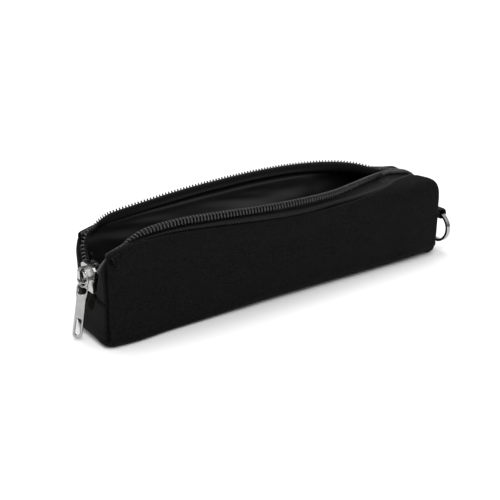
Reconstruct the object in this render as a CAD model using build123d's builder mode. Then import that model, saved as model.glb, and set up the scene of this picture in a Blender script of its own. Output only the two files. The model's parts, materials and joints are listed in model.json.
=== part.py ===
"""Soft neoprene pencil case, unzipped, with a pull tab at one end and a split ring at the other.

+X runs along the case towards the split ring, +Y to the back and +Z up.
The origin is the centre of the underside.
"""

import os
from math import cos, radians, sin

from build123d import *

# Case body
LENGTH = 220.0
DEPTH = 42.0
HEIGHT = 48.0
WALL = 2.5
CORNER_RADIUS = 7.0
EDGE_RADIUS = 5.0
END_SEAM_Z = 22.0

# Fabric layers inside the neoprene
TAPE_THICKNESS = 0.7
LAYER_GAP = 0.15
LINING_THICKNESS = 0.6
LINING_INSET = WALL + TAPE_THICKNESS + 2 * LAYER_GAP

# Mouth and its two flexing lips
MOUTH_LEFT = -84.0
MOUTH_RIGHT = 56.0
LIP_END_GAP = 0.4
LIP_HINGE_Z = 28.0
LIP_HINGE_Y = DEPTH / 2 - WALL / 2
LIP_LENGTH = 22.4
LIP_LEAN = 8.6
RIM_Z = LIP_HINGE_Z - WALL / 2 - 0.45

# Zip
ZIP_END_X = LENGTH / 2 - WALL - 0.5
COIL_WIDTH = 3.4
COIL_THICKNESS = 2.4
ZIP_SLOT_HALF = 7.0
TAPE_OVERLAP = 3.4
STATIONS_PER_SPAN = 3

# Slider
SLIDER_LOW = 23.0
SLIDER_HIGH = 37.0
PLATE_THICKNESS = 1.2
PLATE_GAP = 0.4
FLANGE_WIDTH = 0.6
FLANGE_DEPTH = 0.85
BRIDGE_WIDTH = 2.8
BRIDGE_REACH = 5.1
BRIDGE_LOW = 29.0
BRIDGE_HIGH = 36.4

# Link ring and pull tab
LINK_RADIUS = 4.0
LINK_WIRE = 1.1
LINK_PIVOT = (-112.3, 0, 34.4)
LINK_TURN = 12.0
LINK_LEAN = 7.0
TAB_TURN = 57.0
TAB_WIDTH = 4.8
TAB_EYE_WIDTH = 5.8
TAB_THICKNESS = 1.1
TAB_TOP = 2.3
TAB_BOTTOM = 26.6
TAB_FOOT = (-119.0, -2.0, 0.0)

# Webbing loop and split ring
LOOP_Y = -15.0
LOOP_WIDTH = 7.0
LOOP_THICKNESS = 0.9
RING_CENTRE = (115.0, LOOP_Y, 15.2)
RING_MEAN_RADIUS = 8.6
RING_WIRE = 1.5
RING_COIL_PITCH = 1.35

# Edge of the coil from the bottom of the left end, along the front of the mouth,
# down to the seam of the right end. The back line mirrors it with its own mouth.
FRONT_TEETH = [
    (-107, -0.3, 22.4),
    (-107, -0.3, 27.5),
    (-107, -1.1, 32),
    (-107, -3.6, 36),
    (-106.8, -6.8, 40),
    (-106, -10.6, 44),
    (-103.5, -14.2, 48.5),
    (-98, -17, 53),
    (-88, -19.3, 56.8),
    (-73, -20.8, 59),
    (-50, -21.4, 59),
    (-20, -21.5, 58.3),
    (10, -20.3, 56.8),
    (32, -17, 55.2),
    (50, -12, 54.6),
    (68, -5, 53.3),
    (82, -1.1, 51),
    (94, -0.8, 47.8),
    (102, -0.6, 45),
    (106, -0.4, 40.5),
    (107, -0.3, 35),
    (107, -0.3, 22.4),
]
BACK_TEETH = [
    (-107, 0.3, 22.4),
    (-107, 0.3, 27.5),
    (-107, 1.1, 32),
    (-107, 3.6, 36),
    (-106.8, 6.8, 40),
    (-106, 10.6, 44),
    (-103.5, 14.2, 48.5),
    (-98, 17, 52.5),
    (-88, 19.3, 55.5),
    (-73, 21, 57.2),
    (-50, 22, 58.3),
    (-20, 22.5, 59.3),
    (10, 22, 60.2),
    (32, 20.3, 60),
    (50, 16, 59),
    (68, 8.5, 56.2),
    (82, 1.1, 51),
    (94, 0.8, 47.8),
    (102, 0.6, 45),
    (106, 0.4, 40.5),
    (107, 0.3, 35),
    (107, 0.3, 22.4),
]
# Outer edge of the front tape, where it is sewn in behind the neoprene.
FRONT_TAPE_EDGE = [
    (-107, -9.8, 22.4),
    (-107, -9.8, 26),
    (-107, -10.6, 29),
    (-107, -12, 32),
    (-106.8, -13.8, 35),
    (-105.8, -15.8, 38),
    (-102.6, -17.1, 41),
    (-98, -17.4, 43.5),
    (-88, -17.8, 45),
    (-73, -20.6, 46.2),
    (-50, -20.7, 46.1),
    (-20, -20.7, 46),
    (10, -20.6, 46),
    (32, -20, 46),
    (50, -19, 45.4),
    (68, -14.8, 44.5),
    (82, -11.6, 44.3),
    (93, -10.6, 44.3),
    (100, -10.2, 43.2),
    (105, -9.8, 39.6),
    (107, -9.8, 34),
    (107, -9.8, 22.4),
]
BACK_TAPE_EDGE = [(x, -y, z) for x, y, z in FRONT_TAPE_EDGE]

os.makedirs("parts", exist_ok=True)


def save(part, name):
    """Label a finished piece and write its STEP file."""
    part.label = name
    export_step(part, f"parts/{name}.step")


def rounded_block(inset):
    """The case's outer form, made smaller by an inset on every side."""
    with BuildPart() as block:
        with Locations((0, 0, HEIGHT / 2)):
            Box(LENGTH - 2 * inset, DEPTH - 2 * inset, HEIGHT - 2 * inset)
        corner = max(CORNER_RADIUS - inset, 1.0)
        fillet(block.edges().filter_by(Axis.Z), corner)
        edge = max(EDGE_RADIUS - inset, 0.8)
        fillet(block.faces().sort_by(Axis.Z)[0].edges(), edge)
        fillet(block.faces().sort_by(Axis.Z)[-1].edges(), edge)
    return block.part


def mouth_cutter(margin):
    """Everything that is open above the rim, at both ends and along the top.
    margin widens the zip's openings, for the lining that stops at the tape's edge."""
    top = HEIGHT + 20
    with BuildPart() as cutter:
        with BuildSketch(Plane.XY.offset(RIM_Z)):
            with Locations(((MOUTH_LEFT + MOUTH_RIGHT) / 2, 0)):
                Rectangle(MOUTH_RIGHT - MOUTH_LEFT, DEPTH + 20)
        extrude(amount=top)
        with BuildSketch(Plane.YZ.offset(MOUTH_LEFT + 1)):
            with BuildLine():
                Polyline(
                    (-ZIP_SLOT_HALF - margin, END_SEAM_Z),
                    (ZIP_SLOT_HALF + margin, END_SEAM_Z),
                    (9.5 + margin, 34),
                    (15 + margin, 41.5 - margin),
                    (19.6 + margin, 45 - margin),
                    (19.6 + margin, top),
                    (-19.6 - margin, top),
                    (-19.6 - margin, 45 - margin),
                    (-15 - margin, 41.5 - margin),
                    (-9.5 - margin, 34),
                    close=True,
                )
            make_face()
        extrude(amount=-LENGTH / 2)
        with BuildSketch(Plane.XY.offset(HEIGHT - 6 - margin)):
            with BuildLine():
                Polyline(
                    (MOUTH_RIGHT - 1, -19.2 - margin),
                    (66, -16.2 - margin),
                    (82, -10.6 - margin),
                    (LENGTH / 2 + 1, -8.6 - margin),
                    (LENGTH / 2 + 1, 8.6 + margin),
                    (82, 10.6 + margin),
                    (66, 16.2 + margin),
                    (MOUTH_RIGHT - 1, 19.2 + margin),
                    close=True,
                )
            make_face()
        extrude(amount=top)
        with Locations((LENGTH / 2 - 5, 0, (END_SEAM_Z + HEIGHT) / 2)):
            Box(12, 2 * (ZIP_SLOT_HALF + margin), HEIGHT - END_SEAM_Z)
    return cutter.part


def pouch_skin(inset, thickness, margin):
    """One layer of the case between two insets, opened along the mouth."""
    outside = rounded_block(inset)
    inside = rounded_block(inset + thickness)
    cutter = mouth_cutter(margin)
    with BuildPart() as skin:
        add(outside)
        add(inside, mode=Mode.SUBTRACT)
        add(cutter, mode=Mode.SUBTRACT)
    return skin.part


def lip_layer(side, inner, thickness, low, high, rounded):
    """A straight layer of one lip. inner and thickness run from its outer face inwards,
    low and high run up the lip from the hinge line."""
    along = Vector(0, side * sin(radians(LIP_LEAN)), cos(radians(LIP_LEAN)))
    inward = Vector(0, -side * cos(radians(LIP_LEAN)), sin(radians(LIP_LEAN)))
    hinge = Vector(0, side * LIP_HINGE_Y, LIP_HINGE_Z)
    first = hinge + inward * (inner - WALL / 2)
    second = first + inward * thickness
    corners = [first + along * low, first + along * high, second + along * high, second + along * low]
    start = MOUTH_LEFT + LIP_END_GAP
    end = MOUTH_RIGHT - LIP_END_GAP
    with BuildPart() as layer:
        with BuildSketch(Plane.YZ.offset(start)):
            with BuildLine():
                Polyline([(corner.Y, corner.Z) for corner in corners], close=True)
            make_face()
            if rounded:
                with Locations((hinge.Y, hinge.Z)):
                    Circle(thickness / 2)
        extrude(amount=end - start)
    return layer.part


def smooth_line(points):
    """Even stations on a smooth line through the points."""
    vectors = [Vector(*point) for point in points]
    before = [vectors[0] * 2 - vectors[1]]
    after = [vectors[-1] * 2 - vectors[-2]]
    padded = before + vectors + after
    stations = []
    for index in range(1, len(padded) - 2):
        a, b, c, d = padded[index - 1 : index + 3]
        for step in range(STATIONS_PER_SPAN):
            t = step / STATIONS_PER_SPAN
            bend = (a * 2 - b * 5 + c * 4 - d) * t**2 + (b * 3 - a - c * 3 + d) * t**3
            stations.append((b * 2 + (c - a) * t + bend) * 0.5)
    stations.append(vectors[-1])
    return stations


def zip_strip(teeth, tape_edge, start, end, thickness):
    """A strip that follows the zip, from start to end measured inwards from the teeth.
    end of None reaches the tape's sewn edge."""
    tips = smooth_line(teeth)
    edges = smooth_line(tape_edge)
    with BuildPart() as strip:
        for index, (tip, edge) in enumerate(zip(tips, edges)):
            ahead = tips[min(index + 1, len(tips) - 1)]
            behind = tips[max(index - 1, 0)]
            across = (edge - tip).normalized()
            reach = (edge - tip).length if end is None else end
            normal = (ahead - behind).normalized()
            normal = (normal - across * normal.dot(across)).normalized()
            centre = tip + across * ((start + reach) / 2)
            with BuildSketch(Plane(origin=centre, x_dir=across, z_dir=normal)):
                Rectangle(reach - start, thickness)
        loft(ruled=True)
    return strip.part


def slider_outline():
    """Half-width of the slider plates at each height, as a closed outline."""
    right = [(4.2, SLIDER_LOW), (4.9, 28), (7.6, 34), (7.6, 35.6), (5.4, SLIDER_HIGH)]
    left = [(-y, z) for y, z in reversed(right)]
    return right + left


def slider_body():
    """Two plates joined by a post that parts the coils, with side flanges."""
    outer_face = -ZIP_END_X - COIL_THICKNESS / 2 - PLATE_GAP
    inner_face = -ZIP_END_X + COIL_THICKNESS / 2 + PLATE_GAP
    with BuildPart() as body:
        for face, outwards in ((outer_face, -1), (inner_face, 1)):
            with BuildSketch(Plane.YZ.offset(face)):
                with BuildLine():
                    Polyline(slider_outline(), close=True)
                make_face()
                fillet(vertices(), 0.8)
            extrude(amount=outwards * PLATE_THICKNESS)
            with BuildSketch(Plane.YZ.offset(face)):
                with BuildLine():
                    Polyline(slider_outline(), close=True)
                make_face()
                offset(amount=-FLANGE_WIDTH, mode=Mode.SUBTRACT)
                with Locations((0, SLIDER_HIGH), (0, SLIDER_LOW)):
                    Rectangle(20, 4.8, mode=Mode.SUBTRACT)
            extrude(amount=-outwards * FLANGE_DEPTH)
        with BuildSketch(Plane.YZ.offset(outer_face)):
            with BuildLine():
                Polyline((0, 32.6), (1.3, 34.6), (1.1, 36.6), (-1.1, 36.6), (-1.3, 34.6), close=True)
            make_face()
        extrude(amount=inner_face - outer_face)
    return body.part


def slider_bridge():
    """The strap over the slider that holds the link ring."""
    plate = -ZIP_END_X - COIL_THICKNESS / 2 - PLATE_GAP - PLATE_THICKNESS
    tip = plate - BRIDGE_REACH
    with BuildPart() as bridge:
        with BuildSketch(Plane.XZ.offset(-BRIDGE_WIDTH / 2)):
            with BuildLine():
                Polyline(
                    (plate, BRIDGE_LOW),
                    (tip + 1.6, BRIDGE_LOW),
                    (tip, BRIDGE_LOW + 1.8),
                    (tip, BRIDGE_HIGH - 1.4),
                    (tip + 1.4, BRIDGE_HIGH),
                    (plate, BRIDGE_HIGH),
                    (plate, BRIDGE_HIGH - 1.1),
                    (tip + 1.8, BRIDGE_HIGH - 1.1),
                    (tip + 1.1, BRIDGE_HIGH - 1.8),
                    (tip + 1.1, BRIDGE_LOW + 2.1),
                    (tip + 2, BRIDGE_LOW + 1.1),
                    (plate, BRIDGE_LOW + 1.1),
                    close=True,
                )
            make_face()
        extrude(amount=BRIDGE_WIDTH)
    return bridge.part


def link_axes():
    """Directions across and up the link ring."""
    across = Vector(sin(radians(LINK_TURN)), -cos(radians(LINK_TURN)), 0)
    out = Vector(-cos(radians(LINK_TURN)), -sin(radians(LINK_TURN)), 0)
    up = Vector(0, 0, 1) * cos(radians(LINK_LEAN)) - out * sin(radians(LINK_LEAN))
    return across, up


def link_ring():
    """Closed wire ring that hangs from the bridge."""
    across, up = link_axes()
    centre = Vector(*LINK_PIVOT) - up * LINK_RADIUS
    with BuildPart(Plane(origin=centre, x_dir=across, z_dir=across.cross(up))) as ring:
        Torus(LINK_RADIUS, LINK_WIRE / 2)
    return ring.part


def pull_tab():
    """Flat tab with an eye at the top and a slot near its rounded foot."""
    up_link = link_axes()[1]
    eye = Vector(*LINK_PIVOT) - up_link * (2 * LINK_RADIUS)
    up = (eye - Vector(*TAB_FOOT)).normalized()
    across = Vector(sin(radians(TAB_TURN)), -cos(radians(TAB_TURN)), 0)
    across = (across - up * across.dot(up)).normalized()
    face = Plane(origin=eye, x_dir=across, z_dir=across.cross(up))
    half = TAB_WIDTH / 2
    eye_half = TAB_EYE_WIDTH / 2
    with BuildPart() as tab:
        with BuildSketch(face.offset(-TAB_THICKNESS / 2)):
            with BuildLine():
                ThreePointArc((eye_half, TAB_TOP - eye_half), (0, TAB_TOP), (-eye_half, TAB_TOP - eye_half))
                Polyline((-eye_half, TAB_TOP - eye_half), (-eye_half, -4.2), (-half, -6), (-half, half - TAB_BOTTOM))
                ThreePointArc((-half, half - TAB_BOTTOM), (0, -TAB_BOTTOM), (half, half - TAB_BOTTOM))
                Polyline((half, half - TAB_BOTTOM), (half, -6), (eye_half, -4.2), (eye_half, TAB_TOP - eye_half))
            make_face()
            with Locations((0, -1.4)):
                SlotOverall(5.6, 4.2, rotation=90, mode=Mode.SUBTRACT)
            with Locations((0, 6.0 - TAB_BOTTOM)):
                SlotOverall(8.6, 2.4, rotation=90, mode=Mode.SUBTRACT)
        extrude(amount=TAB_THICKNESS)
        chamfer(tab.faces().sort_by(SortBy.AREA)[-2:].edges(), 0.25)
    return tab.part


def ring_tab_loop():
    """Folded webbing sewn into the end seam, with a round eye for the split ring."""
    seam_x = LENGTH / 2 + 0.5
    eye_x, eye_z = RING_CENTRE[0], RING_CENTRE[2] + RING_MEAN_RADIUS
    eye_radius = 2.3
    with BuildPart() as loop:
        with BuildSketch(Plane.XZ.offset(-LOOP_Y - LOOP_WIDTH / 2)):
            with Locations((eye_x, eye_z)):
                Circle(eye_radius + LOOP_THICKNESS)
            with BuildLine():
                Polyline(
                    (seam_x, 25.3),
                    (seam_x, 27.3),
                    (eye_x + 0.6, eye_z + eye_radius + LOOP_THICKNESS - 0.1),
                    (eye_x - 2.9, eye_z - 1.2),
                    close=True,
                )
            make_face()
            with Locations((eye_x, eye_z)):
                Circle(eye_radius, mode=Mode.SUBTRACT)
        extrude(amount=LOOP_WIDTH)
    return loop.part


def split_ring():
    """Two turns of flat wire side by side, joined by a crossover at the back."""
    x, y, z = RING_CENTRE
    with BuildPart() as ring:
        for side in (-1, 1):
            with BuildSketch(Plane.YZ.offset(x + side * RING_COIL_PITCH / 2 - RING_COIL_PITCH / 2 + 0.05)):
                with Locations((y, z)):
                    Circle(RING_MEAN_RADIUS + RING_WIRE / 2)
                    Circle(RING_MEAN_RADIUS - RING_WIRE / 2, mode=Mode.SUBTRACT)
            extrude(amount=RING_COIL_PITCH - 0.1)
        with Locations((x, y, z - RING_MEAN_RADIUS)):
            Box(RING_COIL_PITCH, 3, RING_WIRE * 0.9)
    return ring.part


def end_binding(side):
    """Bound seam allowance that crosses the inside of one end."""
    wall_x = side * (LENGTH / 2 - LINING_INSET - LINING_THICKNESS - 0.2)
    with BuildPart() as binding:
        with Locations((wall_x - side * 2.5, 0, END_SEAM_Z - 1.4)):
            Box(5, 2 * 13, 1.6)
        fillet(binding.edges().filter_by(Axis.Y), 0.6)
    return binding.part


def corner_binding(side_x, side_y):
    """Bound seam allowances down one corner, below and above the end seam."""
    inset = LINING_INSET + LINING_THICKNESS + 3.1
    corner = (side_x * (LENGTH / 2 - inset), side_y * (DEPTH / 2 - inset))
    turn = 45 if side_x * side_y > 0 else -45
    with BuildPart() as binding:
        for low, high in ((5.0, END_SEAM_Z - 3.2), (END_SEAM_Z + 1.0, HEIGHT - 11)):
            with BuildSketch(Plane.XY.offset(low)):
                with Locations(corner):
                    Rectangle(4.2, 1.4, rotation=turn)
                fillet(vertices(), 0.5)
            extrude(amount=high - low)
    return binding.part


save(pouch_skin(0, WALL, 0), "outer_shell")
save(pouch_skin(LINING_INSET, LINING_THICKNESS, TAPE_OVERLAP), "lining")

for lip_name, lip_side in (("front", -1), ("back", 1)):
    save(lip_layer(lip_side, 0, WALL, 0, LIP_LENGTH, True), f"{lip_name}_lip_panel")
    lining_layer = lip_layer(lip_side, LINING_INSET, LINING_THICKNESS, 1.2, LIP_LENGTH - 5.2, False)
    save(lining_layer, f"{lip_name}_lip_lining")

for zip_name, teeth_line, edge_line in (
    ("front", FRONT_TEETH, FRONT_TAPE_EDGE),
    ("back", BACK_TEETH, BACK_TAPE_EDGE),
):
    save(zip_strip(teeth_line, edge_line, 0, COIL_WIDTH, COIL_THICKNESS), f"{zip_name}_zip_coil")
    tape = zip_strip(teeth_line, edge_line, COIL_WIDTH + LAYER_GAP, None, TAPE_THICKNESS)
    save(tape, f"{zip_name}_zip_tape")

save(slider_body(), "slider_body")
save(slider_bridge(), "slider_bridge")
save(link_ring(), "pull_link")
save(pull_tab(), "pull_tab")
save(ring_tab_loop(), "ring_tab_loop")
save(split_ring(), "split_ring")

for end_name, end_side in (("left", -1), ("right", 1)):
    save(end_binding(end_side), f"{end_name}_end_binding")
    for face_name, face_side in (("front", -1), ("back", 1)):
        save(corner_binding(end_side, face_side), f"{end_name}_{face_name}_corner_binding")
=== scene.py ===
"""Looks of an unzipped neoprene pencil case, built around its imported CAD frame."""

import json
import math

import bmesh
import bpy
import numpy as np
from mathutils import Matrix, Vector, noise


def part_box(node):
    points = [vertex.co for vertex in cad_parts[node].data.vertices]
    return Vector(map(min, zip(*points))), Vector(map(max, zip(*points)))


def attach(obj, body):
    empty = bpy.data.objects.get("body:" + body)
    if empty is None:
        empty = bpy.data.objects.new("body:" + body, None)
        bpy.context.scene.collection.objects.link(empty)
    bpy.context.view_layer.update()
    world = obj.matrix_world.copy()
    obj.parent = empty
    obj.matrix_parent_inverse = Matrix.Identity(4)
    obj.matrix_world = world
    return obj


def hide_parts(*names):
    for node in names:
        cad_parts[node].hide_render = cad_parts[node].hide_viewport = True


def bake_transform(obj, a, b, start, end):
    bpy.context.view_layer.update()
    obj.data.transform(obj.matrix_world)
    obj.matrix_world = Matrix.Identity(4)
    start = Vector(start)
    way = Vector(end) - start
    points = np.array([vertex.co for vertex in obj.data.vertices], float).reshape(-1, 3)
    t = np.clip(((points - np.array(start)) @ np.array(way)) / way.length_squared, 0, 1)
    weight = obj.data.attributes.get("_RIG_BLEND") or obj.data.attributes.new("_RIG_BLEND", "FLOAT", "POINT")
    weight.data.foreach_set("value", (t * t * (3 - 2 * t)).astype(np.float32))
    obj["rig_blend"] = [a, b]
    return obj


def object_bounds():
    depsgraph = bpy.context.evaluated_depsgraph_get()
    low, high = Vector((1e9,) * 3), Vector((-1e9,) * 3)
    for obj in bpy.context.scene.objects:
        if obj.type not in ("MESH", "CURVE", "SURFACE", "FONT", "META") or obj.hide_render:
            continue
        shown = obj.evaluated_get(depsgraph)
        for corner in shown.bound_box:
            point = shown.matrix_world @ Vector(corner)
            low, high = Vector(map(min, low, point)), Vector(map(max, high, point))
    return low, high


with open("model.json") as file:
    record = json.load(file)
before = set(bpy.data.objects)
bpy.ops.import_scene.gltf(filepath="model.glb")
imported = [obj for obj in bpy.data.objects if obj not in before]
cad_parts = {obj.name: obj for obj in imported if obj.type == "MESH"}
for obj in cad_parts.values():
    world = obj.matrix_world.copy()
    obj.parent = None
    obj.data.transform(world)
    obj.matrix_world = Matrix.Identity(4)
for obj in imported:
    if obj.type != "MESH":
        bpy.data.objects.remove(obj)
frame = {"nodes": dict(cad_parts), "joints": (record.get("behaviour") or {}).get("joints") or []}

MM = 0.001
CAD_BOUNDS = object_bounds()
SHELL_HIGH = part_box("outer_shell")[1]
HALF_LENGTH = SHELL_HIGH.x / MM
HALF_DEPTH = SHELL_HIGH.y / MM
JOINTS = {joint["name"]: joint for joint in frame["joints"]}

# ---------------------------------------------------------------- driving sizes, mm
WALL = 2.4
CORNER_RADIUS = 3.6
MIDDLE_EDGE_RADIUS = 7.5
CORNER_EDGE_RADIUS = 3.0
END_EDGE_RADIUS = 4.5
BELLY = 1.2
END_TAPER = 0.2
WALL_TOP = 31.0
WALL_HEIGHT = 52.0
RIGHT_EDGE_EXTRA = 3.0
CORNER_PUSH = 4.5
SEAM_FLARE = 0.9
FOOT_FLARE = 2.0
FOOT_X = -97.0
FOOT_REACH = 15.0
END_BELLY = 2.4
END_HOLLOW = 0.8
END_SEAM_Z = 22.5
SEAM_DEPTH = 1.7
SEAM_HALF_WIDTH = 0.8
SEAM_SWELL_AT = 2.4
SEAM_SWELL_WIDTH = 1.3
PUCKER_DEPTH = 0.7
LINING_INSET = 3.3
LINING_THICKNESS = 0.5
LINING_SLACK = 0.9
FOLD_DEPTH = 2.2
FOLD_HEIGHT = 33.0
COIL_HALF_WIDTH = 1.5
COIL_HALF_THICKNESS = 0.72
COIL_WIRE_RADIUS = 0.45
COIL_PITCH = 1.9
COIL_WIDTH = 3.9
COIL_OVERLAP = 0.35
COIL_ROOM_SHARE = 0.5
UPRIGHT = 0.8
RIDGE_HEIGHT = 2.0
RIDGE_WIDTH = 3.6
VALLEY = 0.7
TAPE_THICKNESS = 0.5
BINDING_THICKNESS = 1.6
STITCH_PITCH = 2.4
LOOP_THICKNESS = 0.9
ZIP_SEAM_Y = 7.0
BEND_LOW = 20.0
BEND_HIGH = 46.0
TUBE_SIDES = 8

# Where the half outline of the case lies, by station: 0 is the middle of the left end,
# 1 the zip's seam there, 2 to 3 the left corner, 3 to 7 the long side, 7 to 8 the right
# corner, 9 the zip's seam on the right end and 10 its middle.
STATION_COUNT = 10


def side_station(x):
    """Station of a place x along the long side."""
    straight = HALF_LENGTH - CORNER_RADIUS
    return 3 + 4 * (x + straight) / (2 * straight)


# Each row: station, edge of the coil, edge of the neoprene, and how far the neoprene
# has turned over towards the zip there, in degrees from upright.
FRONT_ZIP = [
    (0.0, (-107.4, 0.1, 22.0), (-108.8, 0.0, 22.0), 0),
    (1.0, (-107.4, 0.1, 22.4), (-109.0, -7.0, 22.2), 0),
    (1.2, (-107.4, -0.6, 25.5), (-108.6, -7.6, 27.0), 30),
    (1.4, (-107.3, -1.6, 28.5), (-108.6, -9.2, 32.0), 45),
    (1.6, (-107.2, -4.0, 32.5), (-108.8, -11.3, 36.8), 45),
    (1.8, (-107.1, -8.4, 37.5), (-109.3, -14.0, 40.6), 40),
    (2.0, (-106.9, -12.6, 41.8), (-109.4, -17.0, 43.6), 25),
    (2.45, (-105.4, -16.4, 45.8), (-109.1, -20.3, 46.8), 10),
    (2.95, (-102.2, -18.2, 49.6), (-107.2, -21.8, 49.2), 0),
    (side_station(-100), (-97.0, -19.1, 53.4), (-100.0, -22.6, 51.8), -2),
    (side_station(-87), (-88.0, -20.0, 57.3), (-87.0, -23.4, 52.2), -4),
    (side_station(-74), (-73.0, -20.8, 58.8), (-74.0, -23.7, 52.6), -6),
    (side_station(-51), (-49.5, -21.4, 58.0), (-51.0, -24.0, 51.0), -6),
    (side_station(-21), (-20.0, -21.5, 56.1), (-21.0, -24.2, 47.9), -4),
    (side_station(9), (10.0, -20.3, 54.7), (9.0, -23.8, 46.0), 0),
    (side_station(31), (32.0, -17.0, 53.9), (31.0, -22.6, 46.4), 10),
    (side_station(49), (50.0, -12.0, 53.8), (49.0, -20.6, 47.4), 25),
    (side_station(67), (68.0, -5.0, 52.7), (67.0, -17.4, 48.6), 45),
    (side_station(81), (82.0, -0.4, 51.7), (81.0, -13.4, 49.5), 62),
    (side_station(92), (94.0, 0.1, 50.0), (92.0, -9.8, 49.1), 75),
    (7.1, (101.0, 0.1, 47.9), (100.0, -8.0, 48.4), 85),
    (7.5, (105.4, 0.1, 43.6), (106.0, -7.4, 45.6), 88),
    (8.1, (107.4, 0.1, 36.5), (109.0, -7.0, 39.5), 85),
    (8.5, (107.4, 0.1, 29.0), (109.2, -7.0, 31.0), 75),
    (9.0, (107.4, 0.1, 22.4), (109.0, -7.0, 22.2), 0),
    (10.0, (107.4, 0.1, 22.0), (108.8, 0.0, 22.0), 0),
]
BACK_ZIP = [
    (0.0, (-107.4, -0.1, 22.0), (-108.8, 0.0, 22.0), 0),
    (1.0, (-107.4, -0.1, 22.4), (-109.0, 7.0, 22.2), 0),
    (1.2, (-107.4, 0.6, 25.5), (-108.6, 7.6, 27.0), 30),
    (1.4, (-107.3, 1.6, 28.5), (-108.6, 9.2, 32.0), 45),
    (1.6, (-107.2, 4.0, 32.5), (-108.8, 11.3, 36.4), 45),
    (1.8, (-107.0, 7.6, 37.2), (-109.3, 13.6, 40.0), 40),
    (2.0, (-106.7, 11.4, 41.2), (-109.3, 16.6, 42.8), 25),
    (2.45, (-104.8, 15.2, 44.8), (-108.6, 19.6, 45.4), 10),
    (2.95, (-101.0, 17.6, 48.2), (-106.0, 21.4, 47.4), 0),
    (side_station(-99), (-96.0, 18.8, 51.4), (-99.0, 22.4, 48.6), -2),
    (side_station(-87), (-88.0, 19.8, 54.0), (-87.0, 23.2, 49.4), -4),
    (side_station(-74), (-73.0, 21.0, 55.4), (-74.0, 23.8, 50.2), -6),
    (side_station(-51), (-49.5, 22.0, 57.5), (-51.0, 24.4, 51.0), -6),
    (side_station(-21), (-20.0, 22.5, 59.2), (-21.0, 24.8, 52.0), -6),
    (side_station(9), (10.0, 22.0, 60.1), (9.0, 24.4, 52.8), -4),
    (side_station(31), (32.0, 20.4, 60.0), (31.0, 23.4, 52.8), 4),
    (side_station(49), (50.0, 16.4, 59.4), (49.0, 21.4, 52.6), 20),
    (side_station(67), (67.0, 9.2, 57.4), (66.0, 17.6, 52.4), 40),
    (side_station(81), (82.0, 1.0, 52.9), (81.0, 12.6, 51.6), 62),
    (side_station(92), (94.0, -0.1, 50.0), (92.0, 9.4, 50.6), 75),
    (7.1, (101.0, -0.1, 47.9), (100.0, 8.0, 48.6), 85),
    (7.5, (105.4, -0.1, 43.6), (106.0, 7.4, 45.6), 88),
    (8.1, (107.4, -0.1, 36.5), (109.0, 7.0, 39.5), 85),
    (8.5, (107.4, -0.1, 29.0), (109.2, 7.0, 31.0), 75),
    (9.0, (107.4, -0.1, 22.4), (109.0, 7.0, 22.2), 0),
    (10.0, (107.4, -0.1, 22.0), (108.8, 0.0, 22.0), 0),
]


# ---------------------------------------------------------------- small maths
def smooth(t):
    """Smoothstep of t, clipped to 0 to 1."""
    t = np.clip(t, 0.0, 1.0)
    return t * t * (3 - 2 * t)


def through(keys, values, at):
    """Smooth cubic curve through values given at keys, read at other places."""
    keys = np.asarray(keys, float)
    values = np.asarray(values, float)
    at = np.asarray(at, float)
    slope = np.diff(values, axis=0) / np.diff(keys)[:, None]
    tangent = np.zeros_like(values)
    tangent[0] = slope[0]
    tangent[-1] = slope[-1]
    before = np.diff(keys)[:-1, None]
    after = np.diff(keys)[1:, None]
    tangent[1:-1] = (slope[:-1] * after + slope[1:] * before) / (before + after)
    cell = np.clip(np.searchsorted(keys, at, side="right") - 1, 0, len(keys) - 2)
    width = (keys[cell + 1] - keys[cell])[:, None]
    t = (at - keys[cell])[:, None] / width
    return (
        (2 * t**3 - 3 * t**2 + 1) * values[cell]
        + (t**3 - 2 * t**2 + t) * width * tangent[cell]
        + (3 * t**2 - 2 * t**3) * values[cell + 1]
        + (t**3 - t**2) * width * tangent[cell + 1]
    )


def unit(vectors):
    """Rows scaled to length one."""
    length = np.linalg.norm(vectors, axis=-1, keepdims=True)
    return vectors / np.maximum(length, 1e-9)


def run_length(points):
    """Distance along the first axis of a line of points."""
    steps = np.linalg.norm(np.diff(points, axis=0), axis=-1)
    return np.concatenate([[0.0], np.cumsum(steps)])


def noise_at(points, scale, seed):
    """Smooth noise, about -1 to 1, at points in mm."""
    flat = points.reshape(-1, 3)
    shift = Vector((seed * 7.3, seed * 3.1, seed * 5.7))
    values = [noise.noise(Vector(point) / scale + shift) for point in flat]
    return np.array(values).reshape(points.shape[:-1])


# ---------------------------------------------------------------- the case's surface
def outline(station, half_length, half_depth, radius):
    """x and y of the front half outline at each station."""
    x = np.zeros_like(station)
    y = np.zeros_like(station)
    inner_x = half_length - radius
    inner_y = half_depth - radius
    mirrored = np.where(station > STATION_COUNT / 2, STATION_COUNT - station, station)
    end = mirrored <= 1
    x = np.where(end, -half_length, x)
    y = np.where(end, -ZIP_SEAM_Y * mirrored, y)
    face = (mirrored > 1) & (mirrored <= 2)
    x = np.where(face, -half_length, x)
    y = np.where(face, -ZIP_SEAM_Y - (inner_y - ZIP_SEAM_Y) * (mirrored - 1), y)
    corner = (mirrored > 2) & (mirrored <= 3)
    angle = (mirrored - 2) * math.pi / 2
    x = np.where(corner, -inner_x - radius * np.cos(angle), x)
    y = np.where(corner, -inner_y - radius * np.sin(angle), y)
    side = mirrored > 3
    x = np.where(side, -inner_x + (mirrored - 3) / 4 * 2 * inner_x, x)
    y = np.where(side, -half_depth, y)
    x = np.where(station > STATION_COUNT / 2, -x, x)
    return x, y


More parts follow.
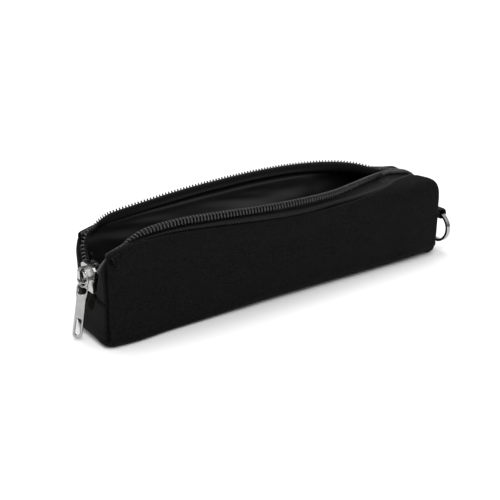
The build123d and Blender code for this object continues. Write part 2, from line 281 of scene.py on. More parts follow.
def wall_at(station, z):
    """A point of the outer wall below the mouth, with its belly and tapered ends."""
    x, y = outline(station, HALF_LENGTH + SEAM_FLARE, HALF_DEPTH, CORNER_RADIUS)
    rise = np.sin(np.clip(z / WALL_HEIGHT, 0, 1) * math.pi)
    along = np.clip(np.abs(x) / HALF_LENGTH, 0, 1)
    depth = 1 + (BELLY * rise * (1 - along**4) - END_TAPER * along**8) / HALF_DEPTH
    hollow = END_HOLLOW * rise * (1 - (np.abs(y) / HALF_DEPTH) ** 2)
    on_end = smooth((along - 0.9) / 0.1)
    low = np.exp(-((z / FOOT_REACH) ** 2))
    foot = FOOT_FLARE * low * np.exp(-(((x - FOOT_X) / FOOT_REACH) ** 2)) * smooth(-y / HALF_DEPTH)
    belly = np.where(x < 0, END_BELLY, 0.2 * END_BELLY) * low * (1 - 0.7 * (np.abs(y) / HALF_DEPTH) ** 4)
    x = x * (1 - on_end * (hollow - belly) / HALF_LENGTH)
    return np.stack([x, y * depth - foot, z], axis=-1)


def station_list():
    """Stations with fine spacing at the ends and corners and even spacing on the side."""
    pieces = [
        np.linspace(0, 1, 12, endpoint=False),
        np.linspace(1, 2, 30, endpoint=False),
        np.linspace(2, 3, 30, endpoint=False),
        np.linspace(3, 7, 132, endpoint=False),
        np.linspace(7, 8, 30, endpoint=False),
        np.linspace(8, 9, 24, endpoint=False),
        np.linspace(9, 10, 12),
    ]
    return np.concatenate(pieces)


STATIONS = station_list()
FLOOR_ROWS = 10
EDGE_ROWS = 10
WALL_ROWS = 30
TOP_ROWS = 26
RIM_ROWS = 7


def outer_surface(zip_rows):
    """Grid of the neoprene's outer face, [station, row, xyz], in front-half coordinates."""
    s = STATIONS
    keys = [row[0] for row in zip_rows]
    rim = through(keys, [(row[2][0], -abs(row[2][1]), row[2][2]) for row in zip_rows], s)
    turn = np.radians(through(keys, [(row[3],) for row in zip_rows], s)[:, 0])
    mirrored = np.minimum(s, STATION_COUNT - s)
    end_share = 1 - smooth((mirrored - 1.9) / 1.3)
    centre = np.exp(-(((s - 5.6) / 1.5) ** 4))
    edge = CORNER_EDGE_RADIUS + (MIDDLE_EDGE_RADIUS - CORNER_EDGE_RADIUS) * centre
    edge = edge + (END_EDGE_RADIUS - CORNER_EDGE_RADIUS) * smooth((1.9 - mirrored) / 0.9)
    edge = edge + RIGHT_EDGE_EXTRA * smooth((s - 6.3) / 0.7) * smooth((8.6 - s) / 0.6)
    rows = []
    foot = wall_at(s, edge)
    centre_x = np.clip(foot[:, 0], -HALF_LENGTH + 12, HALF_LENGTH - 12)
    inward = unit(np.stack([centre_x - foot[:, 0], -foot[:, 1] * (1 - 0.75 * end_share), 0 * s], axis=-1))
    inset = foot + inward * edge[:, None]
    inset[:, 2] = 0
    middle = np.stack([inset[:, 0] * 0.97, 0 * s, 0 * s], axis=-1)
    for t in np.linspace(0, 1, FLOOR_ROWS, endpoint=False):
        rows.append(middle * (1 - t) + inset * t)
    for t in np.linspace(0, 1, EDGE_ROWS, endpoint=False):
        angle = t * math.pi / 2
        point = inset + (foot - inset) * [math.sin(angle), math.sin(angle), 0]
        point[:, 2] = edge * (1 - math.cos(angle))
        rows.append(point)
    top = np.minimum(WALL_TOP, edge + 0.62 * (rim[:, 2] - edge))
    for t in np.linspace(0, 1, WALL_ROWS, endpoint=False):
        rows.append(wall_at(s, edge + (top - edge) * t))
    start = wall_at(s, top)
    upward = unit(start - wall_at(s, top - 1.0))
    level = (rim - start) * [1, 1, 0]
    run = np.linalg.norm(level, axis=-1, keepdims=True)
    rise = np.abs(rim - start)[:, 2:]
    share = np.sin(np.maximum(turn, 0))[:, None]
    arrive = unit(np.cos(turn)[:, None] * [0, 0, 1] + np.sin(turn)[:, None] * level / np.maximum(run, 0.5))
    rim = rim - arrive * WALL / 2
    reach = np.linalg.norm(rim - start, axis=-1, keepdims=True)
    first = start + upward * (0.36 * reach * (1 - share) + 0.85 * rise * share)
    second = rim - arrive * (0.36 * reach * (1 - share) + 0.80 * run * share)
    for t in np.linspace(0, 1, TOP_ROWS):
        rows.append(
            start * (1 - t) ** 3 + first * 3 * t * (1 - t) ** 2 + second * 3 * t**2 * (1 - t) + rim * t**3
        )
    return np.stack(rows, axis=1)


def grid_normals(grid):
    """Unit normals of a grid, pointing out of the case."""
    along = np.gradient(grid, axis=0)
    up = np.gradient(grid, axis=1)
    normals = unit(np.cross(along, up))
    return normals


def relax(field, passes):
    """Light smoothing of a grid of vectors along both axes."""
    for _ in range(passes):
        padded = np.pad(field, ((1, 1), (1, 1), (0, 0)), mode="edge")
        field = (
            padded[1:-1, 1:-1] * 4
            + padded[:-2, 1:-1]
            + padded[2:, 1:-1]
            + padded[1:-1, :-2]
            + padded[1:-1, 2:]
        ) / 8
    return field


def seam_dent(grid, stations):
    """Depth of the sewn seams at each grid point, mm: corners and the end seam."""
    z = grid[..., 2]
    mirrored = np.minimum(stations, STATION_COUNT - stations)[:, None]
    arc = (mirrored - 2.5) * CORNER_RADIUS * math.pi / 2
    fade = smooth((z - 1.0) / 4)
    groove = np.exp(-((arc / SEAM_HALF_WIDTH) ** 2))
    swelling = np.exp(-(((np.abs(arc) - SEAM_SWELL_AT) / SEAM_SWELL_WIDTH) ** 2))
    corner = (groove - 0.3 * swelling) * fade
    pull = np.exp(-((arc / 4.0) ** 2)) * np.exp(-((z - 5) / 5) ** 2)
    strength = np.where(stations < STATION_COUNT / 2, PUCKER_DEPTH, 0.4 * PUCKER_DEPTH)[:, None]
    pucker = strength * pull * (1 + np.cos(z * 1.5)) * smooth(z / 2)
    on_face = 1 - smooth((mirrored - 2.3) / 0.25)
    across = np.exp(-(((z - END_SEAM_Z) / SEAM_HALF_WIDTH) ** 2)) * on_face
    end_seam = across * 0.8
    return SEAM_DEPTH * np.where(np.abs(arc) < 4, np.maximum(corner, end_seam), end_seam) + pucker


def case_half(zip_rows, seed):
    """Outer face with seams, the same face without seams, and that one's normals."""
    grid = outer_surface(zip_rows)
    normals = unit(relax(grid_normals(grid), 2))
    normals[:, :FLOOR_ROWS] = (0, 0, -1)
    lower = slice(FLOOR_ROWS, FLOOR_ROWS + EDGE_ROWS)
    normals[:, lower, 2] = -np.abs(normals[:, lower, 2])
    edge_fade = smooth(np.minimum(STATIONS, STATION_COUNT - STATIONS) / 0.6)[:, None]
    lift = smooth(grid[..., 2] / 6.0)
    soft = 0.55 * noise_at(grid, 34.0, seed) + 0.22 * noise_at(grid, 13.0, seed + 4)
    plain = grid + normals * (soft * edge_fade * lift)[..., None]
    seamed = plain - normals * seam_dent(plain, STATIONS)[..., None]
    return seamed, plain, normals


# ---------------------------------------------------------------- meshes
def pushed_in(points):
    """The soft back left corner, pushed in a little by the open mouth."""
    back = np.clip((points[:, 1] - 2) / 19, 0, 1.2)
    near_end = smooth((-points[:, 0] - 85) / 20)
    return points + np.stack([CORNER_PUSH * back**2 * near_end, 0 * back, 0 * back], axis=-1)


def make_mesh(name, points, faces, uv, material, soft=True):
    """A smooth-shaded mesh object. points and uv are in mm and are stored in metres."""
    if soft:
        points = pushed_in(np.asarray(points))
    mesh = bpy.data.meshes.new(name)
    mesh.from_pydata((np.asarray(points) * MM).tolist(), [], faces)
    mesh.update()
    if uv is not None:
        layer = mesh.uv_layers.new(name="UVMap")
        index = np.zeros(len(mesh.loops), int)
        mesh.loops.foreach_get("vertex_index", index)
        layer.data.foreach_set("uv", (np.asarray(uv)[index] * MM).astype(np.float32).ravel())
    mesh.polygons.foreach_set("use_smooth", [True] * len(mesh.polygons))
    mesh.materials.append(material)
    piece = bpy.data.objects.new(name, mesh)
    bpy.context.scene.collection.objects.link(piece)
    return piece


def grid_faces(count_s, count_r, flip):
    """Quads of a grid whose last row joins its first."""
    faces = []
    for i in range(count_s - 1):
        for j in range(count_r):
            k = (j + 1) % count_r
            quad = (i * count_r + j, (i + 1) * count_r + j, (i + 1) * count_r + k, i * count_r + k)
            faces.append(quad[::-1] if flip else quad)
    return faces


def sheet_solid(name, face, inner, uv, material, side, rim=None):
    """A closed sheet from an outer grid and an inner grid, with optional rounded rim rows."""
    loop = [face] + ([rim] if rim is not None else []) + [inner[:, ::-1]]
    ring = np.concatenate(loop, axis=1)
    count_s, count_r = ring.shape[:2]
    rows_uv = [uv]
    if rim is not None:
        last = uv[:, -1:, :]
        step = np.arange(1, rim.shape[1] + 1)[None, :, None] * [0.0, 0.5]
        rows_uv.append(last + step)
    rows_uv.append(uv[:, ::-1])
    ring_uv = np.concatenate(rows_uv, axis=1).reshape(-1, 2)
    ring = ring.copy()
    ring[..., 1] *= -side
    flip = side > 0
    faces = grid_faces(count_s, count_r, flip)
    half = face.shape[1]
    for i, reverse in ((0, True), (count_s - 1, False)):
        for j in range(half - 1):
            a, b = i * count_r + j, i * count_r + j + 1
            c, d = i * count_r + count_r - 2 - j, i * count_r + count_r - 1 - j
            quad = (a, b, c, d)
            faces.append(quad[::-1] if (reverse != flip) else quad)
        if rim is not None:
            fan = [i * count_r + j for j in range(half - 1, count_r - half + 1)]
            faces.append(tuple(fan[::-1]) if (reverse != flip) else tuple(fan))
    return make_mesh(name, ring.reshape(-1, 3), faces, ring_uv, material)


def surface_uv(grid):
    """Lengths along and up a grid, in mm, as UV."""
    middle = grid.shape[1] // 2
    u = run_length(grid[:, middle])
    steps = np.linalg.norm(np.diff(grid, axis=1), axis=-1)
    v = np.concatenate([np.zeros((grid.shape[0], 1)), np.cumsum(steps, axis=1)], axis=1)
    return np.stack([np.repeat(u[:, None], grid.shape[1], axis=1), v], axis=-1)


def rounded_rim(outer, inner):
    """Half-round rows from the outer edge of a sheet to its inner edge."""
    centre = (outer[:, -1] + inner[:, -1]) / 2
    half = (outer[:, -1] - inner[:, -1]) / 2
    radius = np.linalg.norm(half, axis=-1, keepdims=True)
    beyond = outer[:, -1] - outer[:, -2]
    beyond = unit(beyond - half * np.sum(beyond * half, axis=-1, keepdims=True) / radius**2)
    rows = []
    for angle in np.linspace(0, math.pi, RIM_ROWS + 2)[1:-1]:
        rows.append(centre + half * math.cos(angle) + beyond * radius * math.sin(angle))
    return np.stack(rows, axis=1)


def resampled(points, keys, at):
    """Points given at keys, read at other places by straight lines."""
    return np.stack([np.interp(at, keys, points[:, k]) for k in range(3)], axis=-1)


def zip_lines(zip_rows, rim, spacing, first, last):
    """Evenly spaced frames along the coil. tip is its edge and base its inner side, lay its
    width as a share of the full width, and slope leads from the base to the rim."""
    keys = np.array([row[0] for row in zip_rows])
    dense = np.linspace(first, last, 2400)
    tips = through(keys, [row[1] for row in zip_rows], dense)
    edges = resampled(rim, STATIONS, dense)
    lengths = run_length(tips)
    count = int(lengths[-1] / spacing)
    at = np.linspace(0, lengths[-1], count + 1)
    tip = resampled(tips, lengths, at)
    edge = resampled(edges, lengths, at)
    station = np.interp(at, lengths, dense)
    path = unit(np.gradient(tip, axis=0))
    standing = smooth((tip[:, 2] - edge[:, 2] - 0.8) / 2.2) * smooth((np.abs(tip[:, 1]) - 0.3) / 2.0)
    upright = UPRIGHT * standing[:, None]
    down = unit(edge - tip) * (1 - upright) + np.array([0, 0, -1.0]) * upright
    across, out = frame_towards(path, down)
    gap = edge - tip
    sideways = unit(gap - path * np.sum(gap * path, axis=-1, keepdims=True))
    room = np.sum(gap * sideways, axis=-1)
    lay = np.minimum(1.0, COIL_ROOM_SHARE * room / COIL_WIDTH)[:, None]
    base = tip + across * COIL_WIDTH * lay
    slope = unit(edge - base)
    slope_out = unit(np.cross(path, slope)) * np.sign(np.mean(slope[:, 1]))
    reach = np.linalg.norm(edge - base, axis=-1)
    return {
        "tip": tip,
        "path": path,
        "across": across,
        "out": out,
        "base": base,
        "lay": lay,
        "slope": slope,
        "slope_out": slope_out,
        "reach": reach,
        "station": station,
    }


def frame_towards(path, towards):
    """Unit directions square to path: the one towards a place, and the one out of the case."""
    across = unit(towards - path * np.sum(towards * path, axis=-1, keepdims=True))
    half = np.sign(np.mean(towards[:, 1]))
    return across, np.cross(path, across) * half


def sweep(centre, side_axis, out_axis, profile):
    """Grid from a profile [(across, out), ...] carried along a line of frames.
    profile may be one list for all or one list per frame."""
    profile = np.asarray(profile, float)
    if profile.ndim == 2:
        profile = np.repeat(profile[None], len(centre), axis=0)
    return (
        centre[:, None]
        + profile[..., :1] * side_axis[:, None]
        + profile[..., 1:] * out_axis[:, None]
    )


def tube_mesh(name, ring, material):
    """Closed tube from a grid of rings, with capped ends."""
    count_s, count_r = ring.shape[:2]
    faces = grid_faces(count_s, count_r, False)
    faces.append(tuple(range(count_r))[::-1])
    faces.append(tuple((count_s - 1) * count_r + j for j in range(count_r)))
    u = run_length(ring[:, 0])
    around = np.concatenate([[0.0], np.cumsum(np.linalg.norm(np.diff(ring[0], axis=0), axis=-1))])
    uv = np.stack(np.meshgrid(u, around, indexing="ij"), axis=-1).reshape(-1, 2)
    piece = make_mesh(name, ring.reshape(-1, 3), faces, uv, material)
    recalculate(piece)
    return piece


def recalculate(piece):
    """Makes every face of a closed mesh point outwards."""
    work = bmesh.new()
    work.from_mesh(piece.data)
    bmesh.ops.recalc_face_normals(work, faces=work.faces)
    work.to_mesh(piece.data)
    work.free()


def coil(name, zip_rows, rim, phase, material):
    """Nylon coil of a zip: a flattened helix along the edge of one tape."""
    fine = zip_lines(zip_rows, rim, COIL_PITCH / 14, 1.0, 9.0)
    lengths = run_length(fine["tip"])
    turns = round(lengths[-1] / COIL_PITCH)
    angle = 2 * math.pi * turns * lengths / lengths[-1] + phase
    reach = COIL_HALF_WIDTH + COIL_WIRE_RADIUS - COIL_OVERLAP
    across = reach - COIL_HALF_WIDTH * squared(np.cos(angle))
    out = COIL_HALF_THICKNESS * squared(np.sin(angle))
    line = fine["tip"] + across[:, None] * fine["lay"] * fine["across"] + out[:, None] * fine["out"]
    along = unit(np.gradient(line, axis=0))
    side_axis = unit(np.cross(along, fine["path"] + 0.001))
    out_axis = np.cross(along, side_axis)
    circle = [
        (COIL_WIRE_RADIUS * math.cos(a), COIL_WIRE_RADIUS * math.sin(a))
        for a in np.linspace(0, 2 * math.pi, TUBE_SIDES, endpoint=False)
    ]
    piece = tube_mesh(name, sweep(line, side_axis, out_axis, circle), material)
    return piece, np.repeat(fine["station"], TUBE_SIDES)


def squared(wave):
    """A wave with flatter tops."""
    return np.sign(wave) * np.abs(wave) ** 0.75


def tape_rows(lines):
    """Rows of the tape's outer face: under the coil, over the rolled ridge, then into
    the neoprene's rim."""
    rows = []
    for across, out in ((0.15, -1.25), (1.6, -1.35), (2.8, -1.40), (3.9, -1.50)):
        rows.append(lines["tip"] + across * lines["lay"] * lines["across"] + out * lines["out"])
    reach = lines["reach"][:, None]
    room = np.maximum(reach - 2.0, 0.2)
    width = np.minimum(room, RIDGE_WIDTH)
    start = reach - 1.4 - width
    lift = RIDGE_HEIGHT * smooth((reach - 2.6) / 1.8)
    valley = VALLEY * smooth((reach - 2.0) / 2.0)
    for share in (0.25, 0.5, 0.8):
        rows.append(lines["base"] + start * share * lines["slope"] - (1.5 + valley) * lines["slope_out"])
    for t in np.linspace(-1, 1, 11):
        height = lift * math.sqrt(1 - t * t) - 1.5
        far = start + width * (1 + t) / 2
        rows.append(lines["base"] + far * lines["slope"] + height * lines["slope_out"])
    for before, out in ((1.1, -1.6), (0.5, -1.0), (0.0, -0.1)):
        rows.append(lines["base"] + (reach - before) * lines["slope"] + out * lines["slope_out"])
    return np.stack(rows, axis=1)


def tape(name, zip_rows, rim, material):
    """Woven tape that carries one coil."""
    lines = zip_lines(zip_rows, rim, 1.0, 1.0, 9.0)
    outer = tape_rows(lines)
    along = np.repeat(lines["path"][:, None], outer.shape[1], axis=1)
    normal = unit(np.cross(np.gradient(outer, axis=1), along))
    facing = np.sum(normal[:, 2] * lines["out"], axis=-1)
    normal *= np.sign(facing)[:, None, None]
    inner = outer - normal * TAPE_THICKNESS
    ring = np.concatenate([outer, inner[:, ::-1]], axis=1)
    piece = tube_mesh(name, ring, material)
    return piece, np.repeat(lines["station"], ring.shape[1])


# ---------------------------------------------------------------- how the lips close
def closing_weights(zip_rows, joint):
    """For each zip row's station, the share of the lip hinge's travel that brings its
    coil to the middle of the case."""
    hinge = np.array(joint["pos_m"]) / MM
    limit = math.radians(joint["range_deg"][1])
    stations = np.array([row[0] for row in zip_rows])
    needed = []
    for station, tip, _, _ in zip_rows:
        y, z = abs(tip[1]), tip[2]
        pivot_y, pivot_z = abs(hinge[1]), hinge[2]
        radius = math.hypot(y - pivot_y, z - pivot_z)
        start = math.atan2(z - pivot_z, y - pivot_y)
        goal = math.acos(min(1.0, max(-1.0, (0.4 - pivot_y) / radius)))
        needed.append(max(0.0, goal - start) if z > pivot_z else 0.0)
    share = np.clip(np.array(needed) / limit, 0, 1)
    closed = np.abs([row[1][1] for row in zip_rows]) < 1.0
    return stations, np.where(closed, 0.0, share)


def bend_with_lip(piece, station, zip_rows, lip):
    """Blends a piece between the case and a lip. Its share of the lip's turn follows
    closing_weights along the case, and grows up the wall from BEND_LOW to BEND_HIGH."""
    joint = JOINTS[f"{lip}_flex"]
    stations, share = closing_weights(zip_rows, joint)
    along = np.interp(station, stations, share)
    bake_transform(piece, "root", lip, start=(0, 0, BEND_LOW * MM), end=(0, 0, BEND_HIGH * MM))
    attribute = piece.data.attributes["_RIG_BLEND"]
    up = np.zeros(len(piece.data.vertices), np.float32)
    attribute.data.foreach_get("value", up)
    attribute.data.foreach_set("value", (up * along).astype(np.float32))


# ---------------------------------------------------------------- materials
def node(tree, kind, **values):
    """A shader node with its settings and input values."""
    made = tree.nodes.new(kind)
    for key, value in values.items():
        if key in made.inputs:
            made.inputs[key].default_value = value
        else:
            setattr(made, key, value)
    return made


def new_material(name):
    """An empty material and its principled shader."""
    material = bpy.data.materials.new(name)
    material.use_nodes = True
    tree = material.node_tree
    return material, tree, tree.nodes["Principled BSDF"]


def uv_vector(tree, scale, turn=0.0):
    """The mesh's own UV, in metres, scaled and turned."""
    source = node(tree, "ShaderNodeTexCoord")
    mapping = node(tree, "ShaderNodeMapping")
    mapping.inputs["Scale"].default_value = scale
    mapping.inputs["Rotation"].default_value = (0, 0, turn)
    tree.links.new(source.outputs["UV"], mapping.inputs["Vector"])
    return mapping.outputs["Vector"]


def object_vector(tree):
    """The place on the object, in metres."""
    return node(tree, "ShaderNodeTexCoord").outputs["Object"]


def colour_by(tree, factor, dark, light, low=0.3, high=0.7):
    """A ramp from dark to light along factor."""
    ramp = node(tree, "ShaderNodeValToRGB")
    ramp.color_ramp.elements[0].position = low
    ramp.color_ramp.elements[0].color = (*dark, 1)
    ramp.color_ramp.elements[1].position = high
    ramp.color_ramp.elements[1].color = (*light, 1)
    tree.links.new(factor, ramp.inputs["Fac"])
    return ramp.outputs["Color"]


def add_bump(tree, shader, heights):
    """Chains bump maps: each height is (socket, strength, distance in mm)."""
    last = None
    for socket, strength, distance in heights:
        bump = node(tree, "ShaderNodeBump", Strength=strength, Distance=distance * MM)
        tree.links.new(socket, bump.inputs["Height"])
        if last is not None:
            tree.links.new(last.outputs["Normal"], bump.inputs["Normal"])
        last = bump
    tree.links.new(last.outputs["Normal"], shader.inputs["Normal"])


def noise_node(tree, vector, scale, detail=3.0):
    """A noise texture on a vector."""
    made = node(tree, "ShaderNodeTexNoise", Scale=scale, Detail=detail)
    tree.links.new(vector, made.inputs["Vector"])
    return made.outputs["Fac"]


def neoprene_material():
    """Near-black knit laminated on foam, matte with a faint sheen."""
    material, tree, shader = new_material("neoprene_knit")
    place = object_vector(tree)
    grain = noise_node(tree, place, 1500, 3.0)
    cloud = noise_node(tree, place, 60, 3.0)
    colour = colour_by(tree, grain, (0.0008, 0.0008, 0.0008), (0.0085, 0.0085, 0.0087))
    tree.links.new(colour, shader.inputs["Base Color"])
    shader.inputs["Roughness"].default_value = 0.75
    shader.inputs["Sheen Weight"].default_value = 0.01
    shader.inputs["Sheen Roughness"].default_value = 0.45
    shader.inputs["Specular IOR Level"].default_value = 0.05
    add_bump(tree, shader, [(cloud, 0.3, 0.7), (grain, 0.8, 0.3)])
    return material


def twill_material(name, dark, light, rough, pitch, turn, depth, gloss):
    """Woven twill with diagonal ribs of the given pitch in mm."""
    material, tree, shader = new_material(name)
    ribs = node(tree, "ShaderNodeTexWave", Scale=1.0, Distortion=0.6, Detail=1.5)
    ribs.wave_type = "BANDS"
    ribs.bands_direction = "X"
    ribs.inputs["Detail Scale"].default_value = 2.0
    per_metre = 1000 / pitch * 2 * math.pi / 20
    tree.links.new(uv_vector(tree, (per_metre,) * 3, turn), ribs.inputs["Vector"])
    grain = noise_node(tree, uv_vector(tree, (1, 1, 1)), 3200, 2.0)
    tree.links.new(colour_by(tree, ribs.outputs["Fac"], dark, light, 0.1, 0.9), shader.inputs["Base Color"])
    shader.inputs["Roughness"].default_value = rough
    shader.inputs["Specular IOR Level"].default_value = gloss
    add_bump(tree, shader, [(ribs.outputs["Fac"], 0.6, depth), (grain, 0.3, 0.08)])
    return material


def coil_material():
    """Dark grey nylon monofilament."""
    material, tree, shader = new_material("zip_nylon")
    cloud = noise_node(tree, object_vector(tree), 400, 2.0)
    colour = colour_by(tree, cloud, (0.014, 0.014, 0.014), (0.032, 0.032, 0.033))
    tree.links.new(colour, shader.inputs["Base Color"])
    shader.inputs["Roughness"].default_value = 0.24
    shader.inputs["Specular IOR Level"].default_value = 0.45
    add_bump(tree, shader, [(cloud, 0.1, 0.05)])
    return material


def nickel_material():
    """Polished nickel plate with faint polishing marks."""
    material, tree, shader = new_material("polished_nickel")
    place = object_vector(tree)
    cloud = noise_node(tree, place, 240, 3.0)
    marks = noise_node(tree, place, 2400, 2.0)
    colour = colour_by(tree, cloud, (0.34, 0.34, 0.335), (0.44, 0.435, 0.425))
    tree.links.new(colour, shader.inputs["Base Color"])
    rough = node(tree, "ShaderNodeMapRange")
    rough.inputs["To Min"].default_value = 0.13
    rough.inputs["To Max"].default_value = 0.26
    tree.links.new(marks, rough.inputs["Value"])
    tree.links.new(rough.outputs["Result"], shader.inputs["Roughness"])
    shader.inputs["Metallic"].default_value = 1.0
    add_bump(tree, shader, [(marks, 0.12, 0.04)])
    return material


NEOPRENE = neoprene_material()
LINING = twill_material(
    "satin_twill", (0.0022, 0.0022, 0.0022), (0.012, 0.012, 0.0125),
    rough=0.36, pitch=1.1, turn=0.9, depth=0.16, gloss=0.35,
)
TAPE = twill_material(
    "zip_tape_twill", (0.001, 0.001, 0.001), (0.009, 0.009, 0.0095),
    rough=0.62, pitch=1.3, turn=0.75, depth=0.35, gloss=0.2,
)
COIL = coil_material()
NICKEL = nickel_material()
WEBBING = twill_material(
    "ribbed_webbing", (0.004, 0.004, 0.004), (0.016, 0.016, 0.016),
    rough=0.7, pitch=1.1, turn=1.57, depth=0.3, gloss=0.15,
)


# ---------------------------------------------------------------- the soft case
def build_half(lip, zip_rows, side, seed):
    """One half of the case: neoprene, lining, tape and coil, each bending with its lip."""
    outer, plain, normals = case_half(zip_rows, seed)
    inner = plain - normals * WALL
    inner[..., 1] = np.minimum(inner[..., 1], 0.0)
    rim = rounded_rim(outer, inner)
    uv = surface_uv(outer)
    face = sheet_solid(f"neoprene_{lip}", outer, inner, uv, NEOPRENE, side, rim)
    rows = 2 * outer.shape[1] + rim.shape[1]
    bend_with_lip(face, np.repeat(STATIONS, rows), zip_rows, lip)

    folds = lining_folds(plain, seed + 9)
    outside = plain - normals * (LINING_INSET + folds)[..., None]
    upward = unit(plain[:, -1] - plain[:, -2])
    outside[:, -1] = plain[:, -1] + upward * 1.2 - normals[:, -1] * 2.7
    inside = outside - normals * LINING_THICKNESS
    for layer in (outside, inside):
        layer[..., 1] = np.minimum(layer[..., 1], 0.0)
    cloth = sheet_solid(f"lining_{lip}", outside, inside, uv, LINING, side)
    bend_with_lip(cloth, np.repeat(STATIONS, 2 * outer.shape[1]), zip_rows, lip)
    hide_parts(f"{lip}_lining")

    core = plain[:, -1] - normals[:, -1] * WALL / 2
    core = core * [1, -side, 1]
    strip, station = tape(f"tape_{lip}", zip_rows, core, TAPE)
    bend_with_lip(strip, station, zip_rows, lip)
    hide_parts(f"{lip.split('_')[0]}_zip_tape")

    phase = 0.0 if side < 0 else math.pi
    teeth, station = coil(f"coil_{lip}", zip_rows, core, phase, COIL)
    bend_with_lip(teeth, station, zip_rows, lip)
    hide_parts(f"{lip.split('_')[0]}_zip_coil")
    return face, cloth


def lining_folds(grid, seed):
    """Slack of the lining: how far it stands off the foam, mm."""
    x, z = grid[..., 0], grid[..., 2]
    stretched = np.stack([x * 0.45, grid[..., 1] * 0.2, z * 1.6 + x * 0.25], axis=-1)
    waves = noise_at(stretched, 9.0, seed)
    free = smooth((z - 3) / 8) * smooth((grid[:, -1:, 2] - z) / 6)
    height = FOLD_HEIGHT + 5 * smooth((x + 60) / 100)
    fold = np.exp(-(((z - height) / 5.0) ** 2)) * smooth((70 - np.abs(x)) / 40)
    return free * (LINING_SLACK * np.maximum(waves + 0.15, -0.2) + FOLD_DEPTH * fold)


def flat_profile(half_width, half_thickness):
    """Cross-section of a flat band with rounded edges."""
    angle = np.linspace(0, 2 * math.pi, 24, endpoint=False)
    wide = np.sign(np.cos(angle)) * np.abs(np.cos(angle)) ** 0.35
    thick = np.sign(np.sin(angle)) * np.abs(np.sin(angle)) ** 0.7
    return np.stack([half_width * wide, half_thickness * thick], axis=-1)


def bound_seam(name):
    """A strip folded and stitched over a seam allowance, along its node's longest side."""
    low, high = (np.array(corner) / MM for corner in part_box(name))
    size = high - low
    run = int(np.argmax(size))
    flat = int(np.argmin(size + [0, 0.01, 0]))
    across = 3 - run - flat
    axes = np.eye(3)
    along = np.linspace(low[run], high[run], int(size[run] / 0.4))
    line = (low + high) / 2 + (along - (low[run] + high[run]) / 2)[:, None] * axes[run]
    line = line + 0.35 * noise_at(line, 9.0, 2)[:, None] * axes[flat]
    stitched = 1 - 0.22 * np.abs(np.sin(along * math.pi / STITCH_PITCH))
    thickness = min(size[flat], BINDING_THICKNESS)
    profile = np.repeat(flat_profile(size[across] / 2, thickness / 2)[None], len(line), axis=0)
    profile[..., 1] *= stitched[:, None]
    wide_axis = np.repeat(axes[across][None], len(line), axis=0)
    thin_axis = np.repeat(axes[flat][None], len(line), axis=0)
    strip = tube_mesh(f"{name}_strip", sweep(line, wide_axis, thin_axis, profile), WEBBING)
    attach(strip, "root")
    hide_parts(name)


def webbing_loop():
    """Webbing folded through the split ring, both ends sewn into the case's end seam."""
    low, high = (np.array(corner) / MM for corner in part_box("ring_tab_loop"))
    radius = (high[2] - low[2] - LOOP_THICKNESS) / 2
    eye_x = high[0] - radius - LOOP_THICKNESS / 2
    eye_z = (low[2] + high[2]) / 2
    middle_y = (low[1] + high[1]) / 2
    turn = np.radians(np.linspace(90, -200, 40))
    eye = [(eye_x + radius * math.cos(a), middle_y, eye_z + radius * math.sin(a)) for a in turn]
    upper = eye_z + radius
    lower = upper - 1.1 * LOOP_THICKNESS
    start = [(low[0] - 1.2, middle_y, upper), (low[0] + 1.5, middle_y, upper)]
    end = [(low[0] + 0.8, middle_y, lower), (low[0] - 1.2, middle_y, lower)]
    corners = np.array(start + eye + end)
    lengths = run_length(corners)
    line = through(lengths, corners, np.linspace(0, lengths[-1], 120))
    path = unit(np.gradient(line, axis=0))
    width = np.repeat(np.array([[0.0, 1.0, 0.0]]), len(line), axis=0)
    profile = flat_profile((high[1] - low[1]) / 2, LOOP_THICKNESS / 2)
    band = tube_mesh("webbing_band", sweep(line, width, np.cross(path, width), profile), WEBBING)
    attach(band, "ring_tab")
    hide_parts("ring_tab_loop")


front_shell, front_lining = build_half("front_lip", FRONT_ZIP, -1, 3)
back_shell, back_lining = build_half("back_lip", BACK_ZIP, 1, 21)
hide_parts("outer_shell", "front_lip_panel")
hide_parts("back_lip_panel")
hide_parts("lining")

for name in ("slider_body", "slider_bridge", "pull_link", "pull_tab", "split_ring"):
    frame["nodes"][name].data.materials.clear()
    frame["nodes"][name].data.materials.append(NICKEL)
for name in [name for name in frame["nodes"] if "binding" in name]:
    bound_seam(name)
webbing_loop()


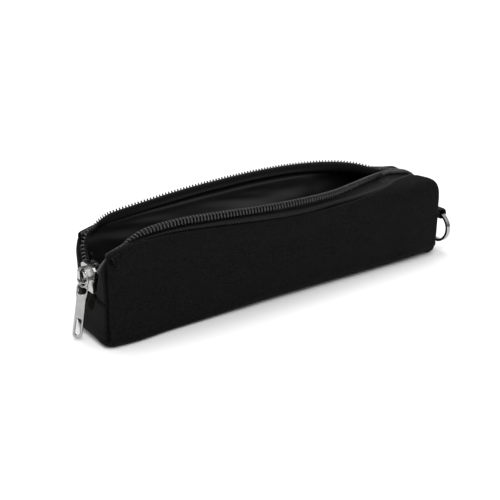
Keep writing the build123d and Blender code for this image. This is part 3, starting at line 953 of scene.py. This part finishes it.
# ---------------------------------------------------------------- floor, light, camera
def plain_material(name, colour, rough):
    """Pale studio paper."""
    material, tree, shader = new_material(name)
    cloud = noise_node(tree, object_vector(tree), 40, 2.0)
    tree.links.new(colour_by(tree, cloud, colour, colour), shader.inputs["Base Color"])
    shader.inputs["Roughness"].default_value = rough
    return material


def floor_piece():
    """A large pale floor under the case."""
    size = 6000
    points = [(-size, -size, 0), (size, -size, 0), (size, size, 0), (-size, size, 0)]
    paper = plain_material("paper", (0.9, 0.9, 0.9), 0.9)
    floor = make_mesh("floor", points, [(0, 1, 2, 3)], None, paper, soft=False)
    floor.location.z = CAD_BOUNDS[0].z - 0.0003


def area_light(name, place, target, size, power):
    """A soft square lamp that faces a target."""
    lamp = bpy.data.lights.new(name, "AREA")
    lamp.size = size
    lamp.energy = power
    made = bpy.data.objects.new(name, lamp)
    made.location = place
    made.rotation_euler = (Vector(target) - Vector(place)).to_track_quat("-Z", "Y").to_euler()
    bpy.context.scene.collection.objects.link(made)


def studio():
    """Floor, pale surroundings that darken towards the horizon, and lamps."""
    floor_piece()
    world = bpy.data.worlds.new("studio")
    world.use_nodes = True
    tree = world.node_tree
    split = node(tree, "ShaderNodeSeparateXYZ")
    tree.links.new(node(tree, "ShaderNodeTexCoord").outputs["Generated"], split.inputs["Vector"])
    shade = colour_by(tree, split.outputs["Z"], (0.12, 0.12, 0.12), (1, 1, 1), 0.05, 0.5)
    sky = tree.nodes["Background"]
    tree.links.new(shade, sky.inputs["Color"])
    sky.inputs["Strength"].default_value = 0.85
    bpy.context.scene.world = world
    bpy.context.scene.view_settings.view_transform = "Standard"
    area_light("key", (-0.35, -0.55, 0.9), (0, 0, 0.02), 0.4, 3.5)
    area_light("top", (0.2, 0.6, 3.0), (0, 0.3, 0.02), 2.0, 55.0)


def camera():
    """Camera above the case, in front and to the left of its long side."""
    data = bpy.data.cameras.new("camera")
    data.sensor_width = 36
    data.lens = 70.14
    made = bpy.data.objects.new("camera", data)
    place = Vector((-0.2954, -0.4070, 0.2181))
    target = Vector((-0.01317, 0, 0.02319))
    made.location = place
    made.rotation_euler = (target - place).to_track_quat("-Z", "Y").to_euler()
    bpy.context.scene.collection.objects.link(made)
    bpy.context.scene.camera = made


studio()
camera()
